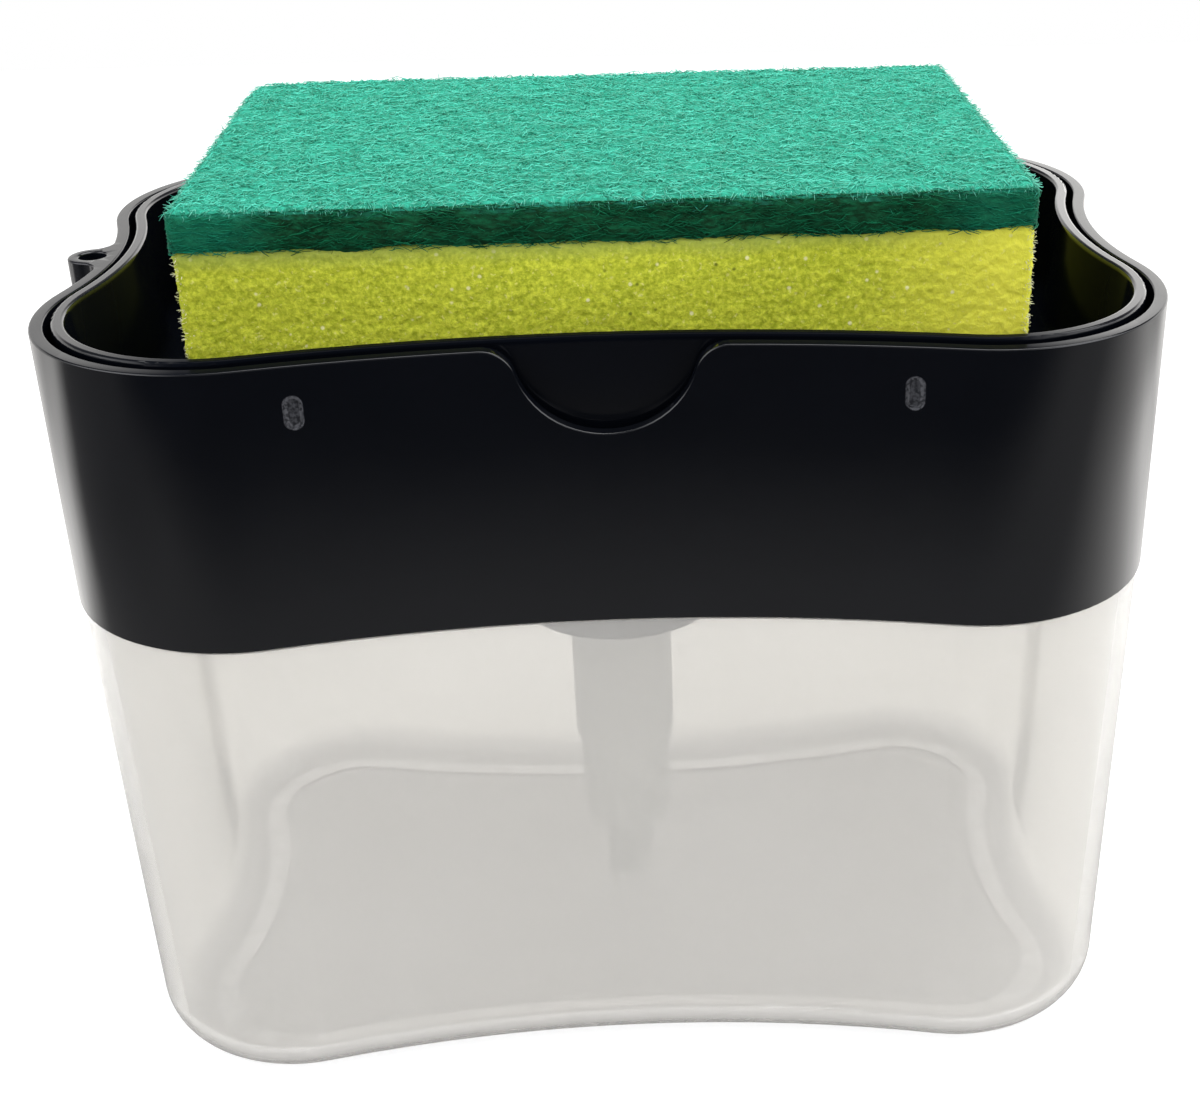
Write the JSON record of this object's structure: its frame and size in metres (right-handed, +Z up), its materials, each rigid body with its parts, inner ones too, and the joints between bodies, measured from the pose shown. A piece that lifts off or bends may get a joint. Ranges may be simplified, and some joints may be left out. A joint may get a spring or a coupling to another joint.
{
  "type": "soap pump caddy",
  "caption": "Wavy translucent soap tank with a black collar, a spring pump worked by pressing its sponge tray, and a two-layer sponge.",
  "frame": {"origin": "on the surface that the tank's foot rim stands on, under the pump's axis", "axes": "+X to the right of someone who faces the finger notch, along the long side; +Y to the back; +Z up, along the pump's axis"},
  "size_m": [0.1357, 0.0862, 0.1167],
  "materials": {
    "tank_plastic": "translucent milky polypropylene, slightly glossy",
    "black_plastic": "glossy black moulded plastic",
    "natural_plastic": "natural off-white polypropylene",
    "seal_rubber": "pale soft elastomer",
    "spring_steel": "bright drawn stainless wire",
    "ball_steel": "polished stainless steel",
    "foam_yellow": "open-cell cellulose-like foam",
    "pad_green": "non-woven scouring fibre"
  },
  "bodies": {
    "tank": {"tank": "tank_plastic"},
    "collar_unit": {"collar": "black_plastic", "pump_housing": "natural_plastic", "pump_gasket": "seal_rubber", "pump_nut": "black_plastic", "stem_guide": "natural_plastic", "stem_seal": "seal_rubber", "dip_tube": "natural_plastic", "return_spring": "spring_steel"},
    "plunger": {"pump_stem": "natural_plastic", "piston_rod": "natural_plastic"},
    "piston": {"piston": "natural_plastic"},
    "inlet_ball": {"inlet_ball": "ball_steel"},
    "tray": {"tray": "black_plastic"},
    "sponge": {"sponge_foam": "foam_yellow", "scouring_pad": "pad_green"}
  },
  "joints": [
    {"name": "collar_lift", "type": "slide", "parent": "tank", "child": "collar_unit", "axis": [0, 0, 1], "range_m": [0, 0.075]},
    {"name": "pump_press", "type": "slide", "parent": "collar_unit", "child": "plunger", "axis": [0, 0, 1], "range_m": [-0.008, 0], "stiffness_N_per_m": 900, "springref_m": 0.008, "deforming": ["return_spring"]},
    {"name": "piston_slip", "type": "slide", "parent": "plunger", "child": "piston", "axis": [0, 0, 1], "range_m": [0, 0.0009]},
    {"name": "ball_lift", "type": "slide", "parent": "collar_unit", "child": "inlet_ball", "axis": [0, 0, 1], "range_m": [0, 0.0012]},
    {"name": "tray_lift", "type": "slide", "parent": "plunger", "child": "tray", "axis": [0, 0, 1], "range_m": [0, 0.03]},
    {"name": "sponge_lift", "type": "slide", "parent": "tray", "child": "sponge", "axis": [0, 0, 1], "range_m": [0, 0.05]}
  ]
}
